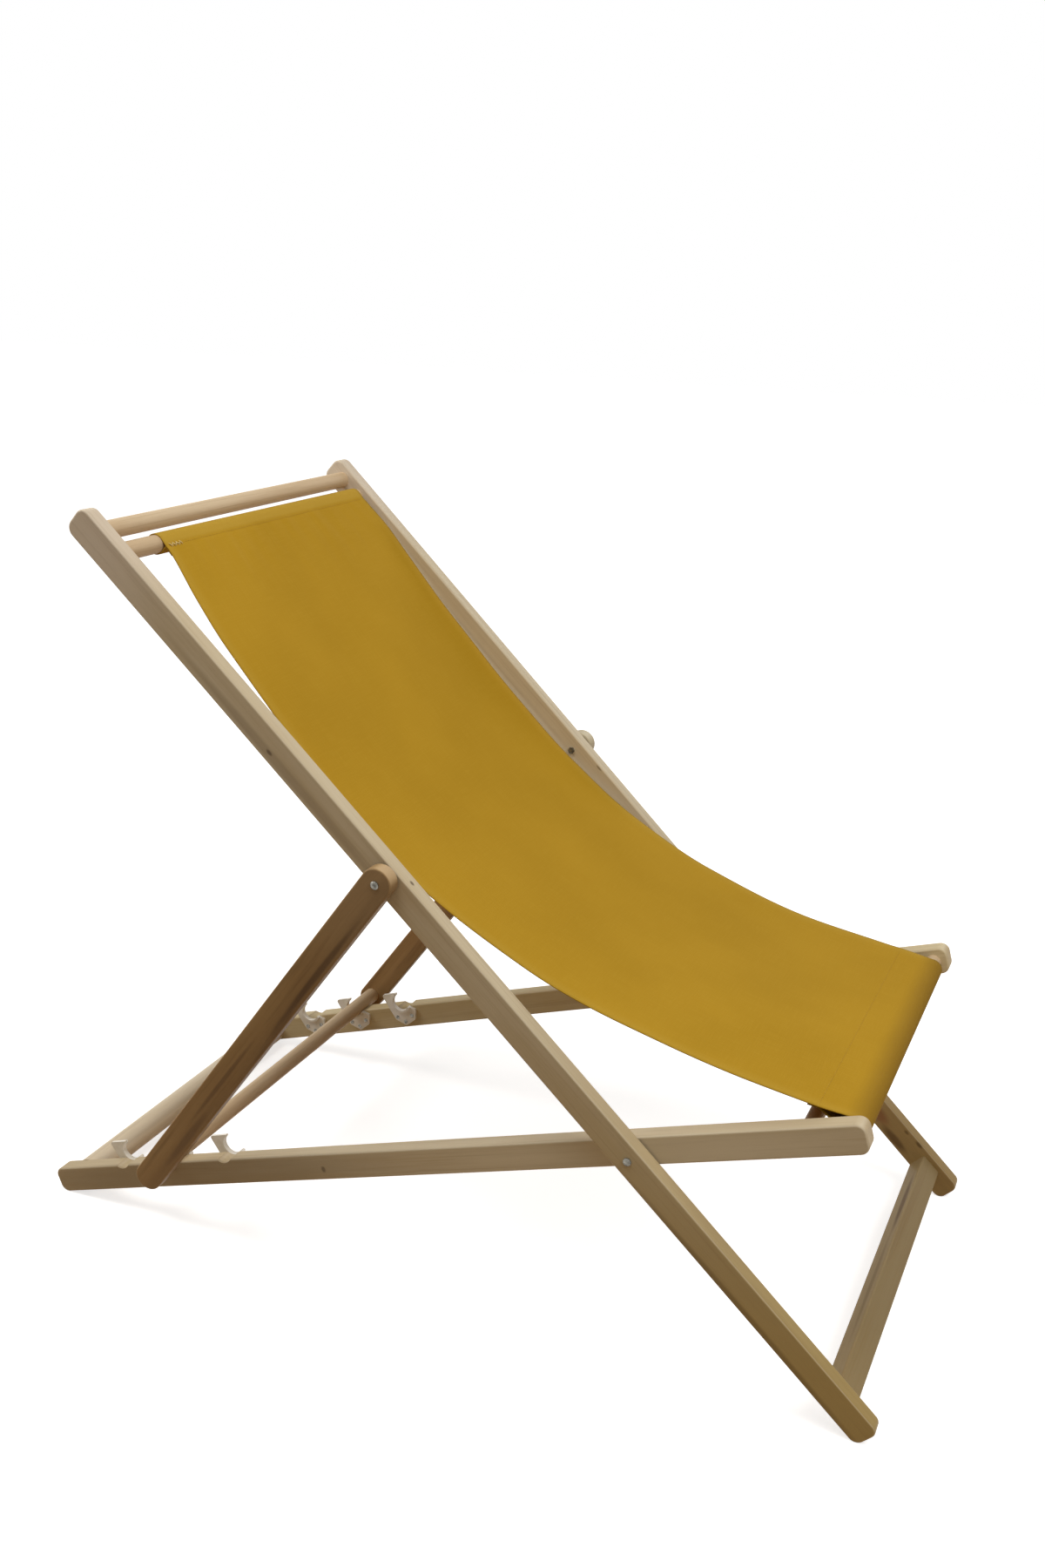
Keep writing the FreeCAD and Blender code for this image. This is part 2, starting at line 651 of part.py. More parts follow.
# Sling: one canvas strip, straight below the head and then two bends, with a sewn hem round each dowel
cloth = number(size("cloth_thickness"))
hem_bore = size("bar_diameter") / 2 + size("joint_gap")
hem_ring = number(hem_bore) + cloth
hem_line = number(hem_bore) + cloth / 2
slope_head = -math.radians(number(size("cloth_slope_head")))
slope_middle = -math.radians(number(size("cloth_slope_middle")))
slope_front = -math.radians(number(size("cloth_slope_front")))
ratio = number(size("cloth_bend_ratio"))
head_x, head_z = back_point(number(head_sling_at))
front_x, front_z = seat_point(number(seat_sling_at))
shift_head, shift_front = number(size("cloth_shift_head")), number(size("cloth_shift_front"))
skew = math.atan2(shift_front - shift_head, front_x - head_x)


def heading(angle):
    return V(math.cos(angle), math.sin(angle), 0)


def normal(angle):
    return V(-math.sin(angle), math.cos(angle), 0)


# Own X of the strip runs along its skewed middle line
head_spot = V((head_x - cross_x) / math.cos(skew), head_z - cross_z, 0)
front_spot = V((front_x - cross_x) / math.cos(skew), front_z - cross_z, 0)
first = head_spot + normal(slope_head) * hem_line
last = front_spot + normal(slope_front) * hem_line
bends = normal(slope_head) - normal(slope_middle) + (normal(slope_middle) - normal(slope_front)) * ratio
along = heading(slope_head)
gap = last - first
share = along.x * bends.y - along.y * bends.x
straight = (gap.x * bends.y - gap.y * bends.x) / share
bend_one = (along.x * gap.y - along.y * gap.x) / share
bend_two = bend_one * ratio
start_one = first + along * straight
centre_one = start_one + normal(slope_head) * bend_one
centre_two = centre_one - normal(slope_middle) * bend_one + normal(slope_middle) * bend_two
print("sling: straight {:.1f}, bends {:.1f} and {:.1f}".format(straight, bend_one, bend_two))
lap = number(size("hem_overlap"))


def arc_between(centre, radius, start, stop):
    # Arc from one direction angle to the other, kept counter-clockwise as sketches hold it
    low, high = min(start, stop), max(start, stop)
    return Part.ArcOfCircle(Part.Circle(centre, up, radius), low, high)


def under(angle):
    # Direction angle from a bend's centre down to the cloth of that slope
    return angle - math.pi / 2


deep = 1.5 * cloth
# Where the doubled hem leaves the ring at the head, along the straight part
head_leave = math.sqrt(hem_ring ** 2 - (hem_line - deep) ** 2)
head_mark = first - normal(slope_head) * deep + along * head_leave
head_angle = math.atan2(head_mark.y - head_spot.y, head_mark.x - head_spot.x)
head_end = first - normal(slope_head) * deep + along * lap
head_step = first - normal(slope_head) * (cloth / 2) + along * lap
# The same at the seat dowel, on the second bend
far = (centre_two - front_spot).Length
outer_bend = bend_two + deep
cut = (far ** 2 + hem_ring ** 2 - outer_bend ** 2) / (2 * far * hem_ring)
toward = math.atan2(centre_two.y - front_spot.y, centre_two.x - front_spot.x)
front_angle = toward + math.acos(cut)
front_mark = front_spot + heading(front_angle) * hem_ring
front_mark_slope = math.atan2(front_mark.y - centre_two.y, front_mark.x - centre_two.x)
front_lap_slope = under(slope_front) - lap / bend_two
top = cloth / 2
outline = [
    Part.LineSegment(first + normal(slope_head) * top, start_one + normal(slope_head) * top),
    arc_between(centre_one, bend_one - top, under(slope_head), under(slope_middle)),
    arc_between(centre_two, bend_two - top, under(slope_middle), under(slope_front)),
    arc_between(front_spot, hem_ring, front_angle - 2 * math.pi, math.pi / 2 + slope_front),
    arc_between(centre_two, bend_two + deep, front_lap_slope, front_mark_slope),
    Part.LineSegment(centre_two + heading(front_lap_slope) * (bend_two + deep),
                     centre_two + heading(front_lap_slope) * (bend_two + top)),
    arc_between(centre_two, bend_two + top, under(slope_middle), front_lap_slope),
    arc_between(centre_one, bend_one + top, under(slope_head), under(slope_middle)),
    Part.LineSegment(start_one - normal(slope_head) * top, head_step),
    Part.LineSegment(head_step, head_end),
    Part.LineSegment(head_end, head_mark),
    arc_between(head_spot, hem_ring, math.pi / 2 + slope_head, head_angle + 2 * math.pi),
]
sling = new_body("sling")
sketch = new_sketch(sling, "sling_outline")
sketch.addGeometry(outline)
add_circle(sketch, head_spot.x, head_spot.y, hem_bore)
add_circle(sketch, front_spot.x, front_spot.y, hem_bore)
pad = add_pad(sling, sketch, (seat_inner - size("cloth_side_gap")) * 2, both=True)
pad.UseCustomVector = True
pad.Direction = V(math.sin(skew), math.cos(skew), 0)
pad.AlongSketchNormal = False
middle_shift = shift_head + math.tan(skew) * (cross_x - head_x)
sling_turn = FreeCAD.Rotation(up, math.degrees(skew))
sling.Placement = FreeCAD.Placement(V(cross_x, middle_shift, cross_z), sling_turn)
made.append(sling)
doc.recompute()

for item in made:
    if item.Shape.isNull() or not item.Shape.isValid():
        raise RuntimeError("{} has a bad shape".format(item.Label))
for item in doc.Objects:
    if "Invalid" in item.State or "Error" in item.State:
        raise RuntimeError("{} is {}".format(item.Name, item.State))
os.makedirs("parts", exist_ok=True)
for item in made:
    item.Shape.exportStep("parts/{}.step".format(item.Label))
    print("{}: {} solids, {:.0f} mm3".format(item.Label, len(item.Shape.Solids), item.Shape.Volume))
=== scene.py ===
import bisect
import math
import bpy
import bmesh
from mathutils import Matrix, Vector, noise


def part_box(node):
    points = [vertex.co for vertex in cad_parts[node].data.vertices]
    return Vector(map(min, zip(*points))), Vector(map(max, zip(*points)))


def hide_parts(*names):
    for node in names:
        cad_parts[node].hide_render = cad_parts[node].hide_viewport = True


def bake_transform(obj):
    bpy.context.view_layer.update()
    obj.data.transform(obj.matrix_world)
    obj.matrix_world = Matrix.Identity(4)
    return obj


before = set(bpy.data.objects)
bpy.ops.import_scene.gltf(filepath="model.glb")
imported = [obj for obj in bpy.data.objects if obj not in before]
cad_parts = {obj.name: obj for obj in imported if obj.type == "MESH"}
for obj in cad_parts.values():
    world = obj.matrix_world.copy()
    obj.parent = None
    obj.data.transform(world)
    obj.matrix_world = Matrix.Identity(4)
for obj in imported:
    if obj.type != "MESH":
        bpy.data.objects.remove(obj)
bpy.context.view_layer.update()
print("stage: frame loaded")


# Middle of a piece that lies across the chair, moved to the chair's own middle plane
def middleOf(node):
    low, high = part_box(node)
    return Vector(((low.x + high.x) / 2, 0.0, (low.z + high.z) / 2))


# Turn about Y that lays a piece's own X from one place to another
def turnTo(start, stop):
    return -math.atan2(stop.z - start.z, stop.x - start.x)


# Places and slopes shared by the pieces, from the frame's own bolts and dowels
cross = middleOf("cross_bolt_right")
headDowel = middleOf("sling_dowel_head")
seatDowel = middleOf("sling_dowel_seat")
propBolt = middleOf("prop_bolt_right")
backTurn = turnTo(cross, headDowel)
seatTurn = turnTo(cross, seatDowel)
propTurn = turnTo(propBolt, middleOf("prop_dowel"))


# Colour from its sRGB hex to the linear values that shaders take, by the standard curve
def linear(hexCode):
    out = []
    for k in (0, 2, 4):
        c = int(hexCode[k:k + 2], 16) / 255
        out.append(c / 12.92 if c <= 0.04045 else ((c + 0.055) / 1.055) ** 2.4)
    return (out[0], out[1], out[2], 1.0)


# A node with its settings and what feeds its sockets; gives back one of its outputs, or all of them
def addNode(owner, kind, inputs, out=0, **settings):
    node = owner.node_tree.nodes.new(kind)
    for key, value in settings.items():
        setattr(node, key, value)
    for socket, value in inputs.items():
        if isinstance(value, bpy.types.NodeSocket):
            owner.node_tree.links.new(value, node.inputs[socket])
        else:
            node.inputs[socket].default_value = value
    return node.outputs[out] if out is not None else node.outputs


def newMaterial(name):
    material = bpy.data.materials.new(name)
    material.use_nodes = True
    material.node_tree.nodes.clear()
    return material


# Lets a map range start and stop gently
soft = {"interpolation_type": "SMOOTHSTEP"}
# Grain of planed timber, in metres along and across it: from broad tone drift to pores and ray flecks.
# The pores are really about 0.3 mm and the flecks 0.5 mm wide, and are drawn coarser so that they show
grain = {
    "drift": {"cell": (0.45, 0.050), "low": 0.30, "high": 0.70},
    "streak": {"cell": (0.30, 0.0075), "low": 0.50, "high": 0.74},
    "line": {"cell": (0.16, 0.0024), "low": 0.52, "high": 0.76},
    "pore": {"cell": (0.02, 0.0012), "low": 0.50, "high": 0.78},
    "fleck": {"cell": (0.005, 0.0014), "low": 0.66, "high": 0.76},
}
# Surface that all the wood shares: the dull sheen of a planed face, faintly ridged by its grain
woodSurface = {
    "seedShift": (0.37, 0.11, 0.23), "detail": 3.0, "contrast": 0.6, "warp": 0.3, "heartFill": 0.35,
    "edgeFacing": (0.96, 0.76), "endFacing": (0.55, 0.95), "markReach": (1.0, 0.35),
    "roughRange": 0.2, "roughness": (0.50, 0.66), "relief": 0.35, "depth": 0.0004, "specular": 0.12,
}
# Planed and sanded beech for the rails: pale and almost plain, with a painted highlight on the rounded edges
railWood = {
    "pale": "CBBB9C", "warm": "BFAB88", "dark": "876B46", "edge": "D8CAB0", "end": "B59C76",
    "drift": 1.0, "streak": 0.20, "line": 0.14, "pore": 0.10, "fleck": 0.12, "edges": 0.35, "ends": 0.4,
}
# Painted light: the far seat rail's wood made paler and warmer, to lift it out of the sling's shade
farSeatLitWood = dict(railWood, pale="D3C29A", warm="C7B286")
footWood = dict(railWood, edges=0.0, streak=0.35)
# Painted light: the rear stretcher's wood made paler, as if lit from above past the sling
rearLitWood = dict(railWood, pale="E0D0B6", warm="D4C2A4")
# Oiled brown hardwood for the struts: strong dark streaks toward the lower edge, pale end grain, and a
# painted highlight on the rounded edges
strutWood = {
    "pale": "9E7F53", "warm": "8F6F45", "dark": "46290F", "edge": "A5834F", "end": "C4A67C",
    "drift": 1.0, "streak": 0.50, "line": 0.13, "pore": 0.10, "fleck": 0.0, "edges": 0.2, "ends": 0.75,
    "band": {"low": -0.004, "high": 0.012, "share": 0.7}, "streakCell": (0.30, 0.015),
}
# Painted light: the far strut's wood made paler, to lift it out of the sling's shade
farStrutLitWood = dict(strutWood, pale="AE8C60", warm="9F7C50", edge="BFAF8E", end="C8BA9A", streak=0.40)
# Turned beech dowels: a touch pinker than the rails, with fine lines
dowelWood = {
    "pale": "D2BA97", "warm": "C4A883", "dark": "8F6D4A",
    "drift": 1.0, "streak": 0.18, "line": 0.20, "pore": 0.12, "fleck": 0.10,
}


# Masks of the grain's patterns on a piece; each seed cuts it from another place in the board
def grainMasks(material, own, seed, tones, acrossY):
    shift = tuple(part * seed for part in woodSurface["seedShift"])
    masks = {}
    for key, pattern in grain.items():
        along, across = tones.get(key + "Cell", pattern["cell"])
        cell = (across, along, across) if acrossY else (along, across, across)
        laid = addNode(material, "ShaderNodeMapping", {
            "Vector": own, "Location": shift, "Scale": cell}, vector_type="TEXTURE")
        mottle = addNode(material, "ShaderNodeTexNoise", {
            "Vector": laid, "Scale": 1.0, "Detail": woodSurface["detail"],
            "Roughness": woodSurface["contrast"], "Distortion": woodSurface["warp"]})
        masks[key] = addNode(material, "ShaderNodeMapRange", {
            "Value": mottle, "From Min": pattern["low"], "From Max": pattern["high"],
            "To Max": tones[key]}, **soft)
    return masks


# Dark heartwood along one edge of a piece: the streaks there join up
def heartMask(material, height, streak, band):
    lower = addNode(material, "ShaderNodeMapRange", {
        "Value": height, "From Min": band["low"], "From Max": band["high"], "To Max": band["share"]}, **soft)
    filled = addNode(material, "ShaderNodeMath", {0: streak, 1: woodSurface["heartFill"]}, operation="ADD")
    heart = addNode(material, "ShaderNodeMath", {0: lower, 1: filled}, operation="MULTIPLY")
    return addNode(material, "ShaderNodeMath", {0: streak, 1: heart}, operation="MAXIMUM")


# Changes of tone along a piece, most of them painted light and shade
def fadeLayers(material, distance, fades):
    layers = []
    for fade in fades:
        toneShift = addNode(material, "ShaderNodeMapRange", {
            "Value": distance, "From Min": fade["from"], "From Max": fade["to"],
            "To Max": fade["share"]}, **soft)
        layers.append((toneShift, fade["tone"]))
    return layers


# Rounded edges face none of the piece's own three directions and take a painted highlight, and end grain
# faces along it
def edgeHighlightAndEndLayers(material, turn, tones, acrossY):
    shares = {"edge": tones.get("edges", 0.0), "end": 0.0 if acrossY else tones.get("ends", 0.0)}
    if not any(shares.values()):
        return []
    normal = addNode(material, "ShaderNodeTexCoord", {}, "Normal")
    ownNormal = addNode(material, "ShaderNodeVectorRotate", {"Vector": normal, "Angle": -turn},
                        rotation_type="Y_AXIS")
    facing = addNode(material, "ShaderNodeVectorMath", {0: ownNormal}, operation="ABSOLUTE")
    sides = addNode(material, "ShaderNodeSeparateXYZ", {0: facing}, None)
    most = sides[0]
    for side in (sides[1], sides[2]):
        most = addNode(material, "ShaderNodeMath", {0: most, 1: side}, operation="MAXIMUM")
    layers = []
    for key, value in (("edge", most), ("end", sides[0])):
        if shares[key]:
            low, high = woodSurface[key + "Facing"]
            mask = addNode(material, "ShaderNodeMapRange", {
                "Value": value, "From Min": low, "From Max": high, "To Max": shares[key]}, **soft)
            layers.append((mask, tones[key]))
    return layers


# Knots, stains and patches of painted light and shade, each a soft ellipsoid in the piece's own directions
# with an edge made ragged by the grain
def markLayers(material, own, line, marks):
    low, high = woodSurface["markReach"]
    layers = []
    for mark in marks:
        near = addNode(material, "ShaderNodeMapping", {
            "Vector": own, "Location": mark["at"], "Scale": mark["size"]}, vector_type="TEXTURE")
        far = addNode(material, "ShaderNodeVectorMath", {0: near}, 1, operation="LENGTH")
        ragged = addNode(material, "ShaderNodeMath", {0: line, 1: far}, operation="ADD")
        mask = addNode(material, "ShaderNodeMapRange", {
            "Value": ragged, "From Min": low, "From Max": high, "To Max": mark["share"]}, **soft)
        layers.append((mask, mark["tone"]))
    return layers


# Planed wood laid along a piece's own X, or along Y: gives the eye soft streaks, dull sheen and a painted
# highlight on the rounded edges
def woodMaterial(name, start, turn, seed, tones, acrossY=False, marks=(), fades=()):
    material = newMaterial(name)
    place = addNode(material, "ShaderNodeTexCoord", {}, "Object")
    own = addNode(material, "ShaderNodeMapping", {
        "Vector": place, "Location": start, "Rotation": (0.0, turn, 0.0)}, vector_type="TEXTURE")
    spot = addNode(material, "ShaderNodeSeparateXYZ", {0: own}, None)
    masks = grainMasks(material, own, seed, tones, acrossY)
    if "band" in tones:
        masks["streak"] = heartMask(material, spot[2], masks["streak"], tones["band"])
    # Each tone is laid over those before it
    layers = [(masks["drift"], tones["warm"])]
    layers += fadeLayers(material, spot[0], fades)
    layers += [(masks[key], tones["dark"]) for key in ("streak", "line", "pore", "fleck")]
    layers += edgeHighlightAndEndLayers(material, turn, tones, acrossY)
    layers += markLayers(material, own, masks["line"], marks)
    colour = linear(tones["pale"])
    for mask, tone in layers:
        colour = addNode(material, "ShaderNodeMix", {"Factor": mask, "A": colour, "B": linear(tone)},
                         "Result", data_type="RGBA")
    sleek, matt = woodSurface["roughness"]
    rough = addNode(material, "ShaderNodeMapRange", {
        "Value": masks["line"], "From Max": woodSurface["roughRange"], "To Min": sleek, "To Max": matt})
    height = addNode(material, "ShaderNodeMath", {0: masks["line"], 1: masks["pore"]}, operation="ADD")
    bump = addNode(material, "ShaderNodeBump", {
        "Height": height, "Strength": woodSurface["relief"], "Distance": woodSurface["depth"]}, invert=True)
    shader = addNode(material, "ShaderNodeBsdfPrincipled", {
        "Base Color": colour, "Roughness": rough, "Normal": bump,
        "Specular IOR Level": woodSurface["specular"]})
    addNode(material, "ShaderNodeOutputMaterial", {"Surface": shader}, None)
    return material


# Injection-moulded nylon for the notch clips: slightly yellowed and satin, with the tool's fine texture.
# The texture's grit is really about 0.1 mm and is drawn at 1.2 mm to show
clipNylon = {
    "fresh": "F0EADD", "yellowed": "E2DAC8", "patch": 0.018, "patchDetail": 3.0, "patchRange": (0.35, 0.68),
    "grit": 0.0012, "gritDetail": 2.0, "relief": 0.12, "depth": 0.0003,
    "roughRange": (0.3, 0.7), "roughness": (0.38, 0.5), "specular": 0.45,
}


def nylonMaterial():
    material = newMaterial("moulded_nylon")
    place = addNode(material, "ShaderNodeTexCoord", {}, "Object")
    broad = addNode(material, "ShaderNodeTexNoise", {
        "Vector": place, "Scale": 1 / clipNylon["patch"], "Detail": clipNylon["patchDetail"]})
    low, high = clipNylon["patchRange"]
    toneShift = addNode(material, "ShaderNodeMapRange", {
        "Value": broad, "From Min": low, "From Max": high}, **soft)
    colour = addNode(material, "ShaderNodeMix", {
        "Factor": toneShift, "A": linear(clipNylon["fresh"]), "B": linear(clipNylon["yellowed"])},
        "Result", data_type="RGBA")
    fine = addNode(material, "ShaderNodeTexNoise", {
        "Vector": place, "Scale": 1 / clipNylon["grit"], "Detail": clipNylon["gritDetail"]})
    bump = addNode(material, "ShaderNodeBump", {
        "Height": fine, "Strength": clipNylon["relief"], "Distance": clipNylon["depth"]})
    low, high = clipNylon["roughRange"]
    sleek, matt = clipNylon["roughness"]
    rough = addNode(material, "ShaderNodeMapRange", {
        "Value": broad, "From Min": low, "From Max": high, "To Min": sleek, "To Max": matt})
    shader = addNode(material, "ShaderNodeBsdfPrincipled", {
        "Base Color": colour, "Roughness": rough, "Normal": bump,
        "Specular IOR Level": clipNylon["specular"]})
    addNode(material, "ShaderNodeOutputMaterial", {"Surface": shader}, None)
    return material


# Plated steel, glossier on the bolts, nuts and washers and duller on the screws: patches of worn plating a
# few millimetres wide break up its reflections
plating = {"patch": 0.004, "detail": 4.0, "range": (0.3, 0.7), "duller": 0.2}
boltSteel = {"name": "zinc_plated_steel", "bright": "88857C", "dull": "5A5750", "roughness": 0.34}
screwSteel = {"name": "dull_plated_steel", "bright": "8E8A80", "dull": "6B675E", "roughness": 0.5}


def steelMaterial(name, bright, dull, roughness):
    material = newMaterial(name)
    place = addNode(material, "ShaderNodeTexCoord", {}, "Object")
    patch = addNode(material, "ShaderNodeTexNoise", {
        "Vector": place, "Scale": 1 / plating["patch"], "Detail": plating["detail"]})
    low, high = plating["range"]
    worn = addNode(material, "ShaderNodeMapRange", {
        "Value": patch, "From Min": low, "From Max": high}, **soft)
    colour = addNode(material, "ShaderNodeMix", {"Factor": worn, "A": linear(bright), "B": linear(dull)},
                     "Result", data_type="RGBA")
    rough = addNode(material, "ShaderNodeMapRange", {
        "Value": patch, "From Min": low, "From Max": high,
        "To Min": roughness, "To Max": roughness + plating["duller"]})
    shader = addNode(material, "ShaderNodeBsdfPrincipled", {
        "Base Color": colour, "Roughness": rough, "Metallic": 1.0})
    addNode(material, "ShaderNodeOutputMaterial", {"Surface": shader}, None)
    return material


print("stage: materials")
# Marks that the photograph shows, in metres along the piece from its crossing or pivot, across the chair
# and off the piece's middle line
nearBackMarks = [   # a knot on the edge, a streak with a second knot, and a dark edge toward the foot
    {"at": (0.377, -0.263, -0.0172), "size": (0.0045, 0.003, 0.004), "share": 0.8, "tone": "54402B"},
    {"at": (0.56, -0.2723, 0.0075), "size": (0.24, 0.006, 0.0085), "share": 0.36, "tone": "70563A"},
    {"at": (0.581, -0.2723, 0.0062), "size": (0.006, 0.004, 0.0030), "share": 0.70, "tone": "54402B"},
    {"at": (-0.22, -0.2723, 0.0145), "size": (0.26, 0.006, 0.0075), "share": 0.50, "tone": "63471C"},
]
farBackMarks = [    # a scratch, and the spots and damp stains of the leg
    {"at": (0.357, 0.2525, -0.014), "size": (0.007, 0.005, 0.002), "share": 0.55, "tone": "5F4B33"},
    {"at": (-0.297, 0.2523, -0.012), "size": (0.006, 0.006, 0.0030), "share": 0.50, "tone": "33230E"},
    {"at": (-0.321, 0.2523, -0.014), "size": (0.009, 0.006, 0.0035), "share": 0.55, "tone": "2E1F0B"},
    {"at": (-0.250, 0.2523, 0.003), "size": (0.032, 0.010, 0.0130), "share": 0.60, "tone": "844C30"},
    {"at": (-0.296, 0.2523, 0.009), "size": (0.034, 0.010, 0.0080), "share": 0.65, "tone": "4B2C12"},
]
nearSeatMarks = [   # painted shade on the outer face at its rear, painted light round the crossing, and a nick
    {"at": (-0.62, -0.250, 0.0), "size": (0.38, 0.006, 0.040), "share": 0.42, "tone": "6B563A"},
    {"at": (-0.02, -0.250, 0.0), "size": (0.34, 0.040, 0.040), "share": 0.40, "tone": "E2D4B6"},
    {"at": (-0.418, -0.250, -0.003), "size": (0.004, 0.005, 0.006), "share": 0.6, "tone": "4A3A26"},
]
nearStrutMarks = [  # dark flames of heartwood
    {"at": (0.14, -0.2926, 0.0105), "size": (0.12, 0.01, 0.0055), "share": 0.6, "tone": "3A210A"},
    {"at": (0.36, -0.2926, 0.000), "size": (0.11, 0.01, 0.0040), "share": 0.5, "tone": "46290F"},
    {"at": (0.47, -0.2926, 0.009), "size": (0.08, 0.01, 0.0070), "share": 0.4, "tone": "46290F"},
]
footMarks = [       # two long stains
    {"at": (-0.338, 0.135, -0.001), "size": (0.010, 0.095, 0.006), "share": 0.85, "tone": "563A00"},
    {"at": (-0.338, -0.05, 0.001), "size": (0.010, 0.150, 0.005), "share": 0.50, "tone": "5E4405"},
]
# Changes of tone along a piece, in metres from its crossing or pivot; most of them are painted light and
# shade
legShade = {"from": 0.30, "to": -0.36, "share": 0.9, "tone": "A1844F"}       # painted shade: darker and browner toward the foot, where less light reaches
headLit = {"from": 0.72, "to": 0.87, "share": 0.6, "tone": "D9C9B6"}       # painted light: paler toward the head
# Painted shade: the seat rail darker toward its rear
seatShade = {"from": -0.30, "to": -0.80, "share": 0.35, "tone": "A08A62"}
# Painted shade: the foot stretcher darker all over, down by the floor
footShade = {"from": 0.0, "to": -0.1, "share": 0.85, "tone": "8E774B"}
nearStrutPale = {"from": 0.18, "to": 0.0, "share": 0.40, "tone": "A88E6C"}  # worn round the pivot
farStrutPale = {"from": 0.045, "to": 0.0, "share": 0.90, "tone": "CDBFA0"}
nowhere = Vector((0.0, 0.0, 0.0))
# Wood of each timber: where its own X starts and how it is turned, then its tones, marks and fades
timbers = {
    "back_rail_right": {
        "name": "planed_beech_back_right", "start": cross, "turn": backTurn, "seed": 1, "tones": railWood,
        "marks": nearBackMarks, "fades": [dict(legShade, tone="AA9056"), headLit]},
    "back_rail_left": {
        "name": "planed_beech_back_left", "start": cross, "turn": backTurn, "seed": 2, "tones": railWood,
        "marks": farBackMarks, "fades": [legShade, headLit]},
    "seat_rail_right": {
        "name": "planed_beech_seat_right", "start": cross, "turn": seatTurn, "seed": 3, "tones": railWood,
        "marks": nearSeatMarks, "fades": [seatShade]},
    "seat_rail_left": {
        "name": "planed_beech_seat_left", "start": cross, "turn": seatTurn, "seed": 4, "tones": farSeatLitWood},
    "prop_strut_right": {
        "name": "oiled_hardwood_right", "start": propBolt, "turn": propTurn, "seed": 5, "tones": strutWood,
        "marks": nearStrutMarks, "fades": [nearStrutPale]},
    "prop_strut_left": {
        "name": "oiled_hardwood_left", "start": propBolt, "turn": propTurn, "seed": 6, "tones": farStrutLitWood,
        "fades": [farStrutPale]},
    "rear_stretcher": {
        "name": "turned_beech_rear", "start": nowhere, "turn": 0.0, "seed": 7, "tones": rearLitWood,
        "acrossY": True},
    "foot_stretcher": {
        "name": "planed_beech_foot", "start": cross, "turn": backTurn, "seed": 8, "tones": footWood,
        "acrossY": True, "marks": footMarks, "fades": [footShade]},
}
dowels = ("head_dowel", "sling_dowel_head", "sling_dowel_seat", "front_spreader", "prop_dowel")
looks = {name: woodMaterial(**timber) for name, timber in timbers.items()}
for seed, name in enumerate(dowels, len(timbers) + 1):
    looks[name] = woodMaterial("turned_beech_" + name, nowhere, 0.0, seed, dowelWood, acrossY=True)
looks["clip_screws"] = steelMaterial(**screwSteel)
nylon = nylonMaterial()
zinc = steelMaterial(**boltSteel)
for name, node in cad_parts.items():
    node.data.materials.clear()
    node.data.materials.append(looks.get(name) or (nylon if name.startswith("clip_") else zinc))

# Sling: one strip of canvas, narrowed a little by its hems and hung much as the CAD model hangs it, in
# metres and degrees. Three tables go by distance below the head dowel: how far each side edge stands out
# past the hems, and how far the far and the near side stand off the middle line
sling = {
    "dowelRadius": 0.010, "clearance": 0.0003, "thickness": 0.0012,
    "slopes": (-49.0, -17.0, -4.0), "bendRatio": 1.42,
    "hemWidth": 0.444, "flatWidth": 0.456, "shiftHead": 0.024, "shiftFront": -0.002,
    "tunnelHead": 0.010, "tunnelFront": 0.044, "lap": 0.012, "lapLift": 1.2,
    "rollSlack": 0.0016, "rollOff": (0.0016, -0.0016),
    "bulge": [(0.0, 0.0), (0.08, 0.006), (0.22, 0.008), (0.32, 0.009), (0.44, 0.009), (0.62, 0.004),
              (0.80, 0.003), (1.0, 0.0)],
    "farLift": [(0.0, 0.0), (0.06, 0.004), (0.16, 0.005), (0.28, 0.0095), (0.36, 0.0100), (0.46, 0.0075),
                (0.58, 0.0045), (0.70, 0.0), (0.84, -0.0052), (0.95, -0.0025), (1.02, 0.0)],
    "nearLift": [(0.0, 0.0), (0.62, 0.0), (0.78, 0.004), (0.90, 0.0025), (1.02, 0.0)],
    "liftFrom": -0.3, "freeHead": 0.16, "freeFront": 0.12, "sag": 0.0025,
    "lower": 0.0025, "lowerIn": (0.30, 0.55), "lowerOut": (0.72, 0.90),
    "ripple": 0.0020, "ripplesAcross": 7, "ripplesAlong": 4, "rippleSlant": 2.2, "rippleLayer": 1.3,
    "pucker": 0.00108, "puckerIn": (0.004, 0.016), "puckerOut": (0.03, 0.12),
    "puckers": [{"across": 50, "along": 10, "layer": 4.1, "share": 1.0},
                {"across": 110, "along": 16, "layer": 7.7, "share": 0.6}],
    "crease": 0.0004, "creaseWidth": 0.0035,
    "gather": 0.010, "gatherFrom": 0.02, "gatherTo": 0.14,
    "rollIn": 0.007, "rollShift": -0.004, "rollFrom": 0.05, "rollTo": 0.012,
    "seamShare": 0.24, "stepsAcross": 96,
    "steps": {"lap": 4, "tunnel": 10, "roll": 44, "seam": 40, "straight": 50, "bend": 80},
    "blendFrom": (-0.05, 0.0), "blendTo": (0.05, -0.06),
}


def heading(angle):
    return Vector((math.cos(angle), math.sin(angle)))


def normalOf(angle):
    return Vector((-math.sin(angle), math.cos(angle)))


def smooth(value, low, high):
    t = min(max((value - low) / (high - low), 0.0), 1.0)
    return t * t * (3 - 2 * t)


headSpot, seatSpot = headDowel.xz, seatDowel.xz


